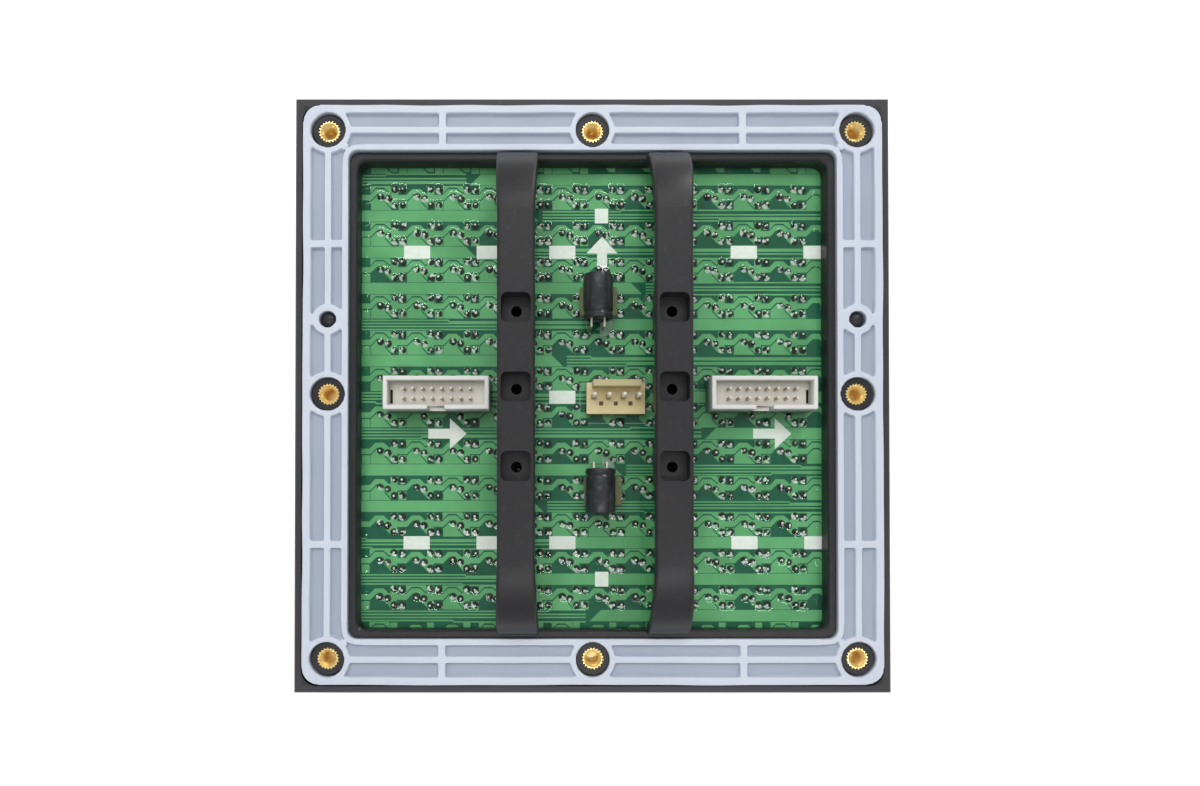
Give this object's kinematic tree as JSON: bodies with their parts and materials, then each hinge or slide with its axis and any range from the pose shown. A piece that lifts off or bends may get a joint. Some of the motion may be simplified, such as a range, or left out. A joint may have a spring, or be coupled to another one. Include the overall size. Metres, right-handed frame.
{
  "type": "led display module",
  "caption": "Square outdoor LED display tile lying face down: black back case with arched crossbars, silicone seal, circuit board with headers, visored lamp mask.",
  "frame": {"origin": "centre of the square tile, at the tips of the front visors that it rests on", "axes": "+Z from the lit face to the back, +X to the right and +Y to the display's upper edge as seen from behind"},
  "size_m": [0.16, 0.16, 0.0336],
  "materials": {
    "case_black": "fine matte moulded",
    "mask_black": "fine matte moulded",
    "seal_silicone": "milky silicone",
    "insert_brass": "turned and knurled",
    "board_green": "glossy solder mask",
    "clear_silicone": "clear glossy potting",
    "shell_grey": "semi-matte moulded",
    "housing_tan": "semi-matte moulded",
    "pin_metal": "tinned",
    "can_black": "glossy shrink sleeve",
    "pad_olive": "matte adhesive pad",
    "screw_steel": "black oxide",
    "chip_black": "matte moulded"
  },
  "bodies": {
    "root": {"back_case": "case_black", "seal_gasket": "seal_silicone", "threaded_inserts": "insert_brass", "circuit_board": "board_green", "clear_potting": "clear_silicone", "front_mask": "mask_black", "mask_screws": "screw_steel", "input_header_shell": "shell_grey", "input_header_pins": "pin_metal", "output_header_shell": "shell_grey", "output_header_pins": "pin_metal", "power_socket_housing": "housing_tan", "power_socket_pins": "pin_metal", "upper_capacitor": "can_black", "lower_capacitor": "can_black", "upper_capacitor_pad": "pad_olive", "lower_capacitor_pad": "pad_olive", "driver_chip_01": "chip_black", "driver_chip_02": "chip_black", "driver_chip_03": "chip_black", "driver_chip_04": "chip_black", "driver_chip_05": "chip_black", "driver_chip_06": "chip_black", "driver_chip_07": "chip_black", "driver_chip_08": "chip_black", "driver_chip_09": "chip_black", "driver_chip_10": "chip_black", "driver_chip_11": "chip_black", "driver_chip_12": "chip_black", "buffer_chip_1": "chip_black", "buffer_chip_2": "chip_black", "decoder_chip": "chip_black", "row_switch_1": "chip_black", "row_switch_2": "chip_black", "row_switch_3": "chip_black", "row_switch_4": "chip_black"}
  },
  "joints": []
}
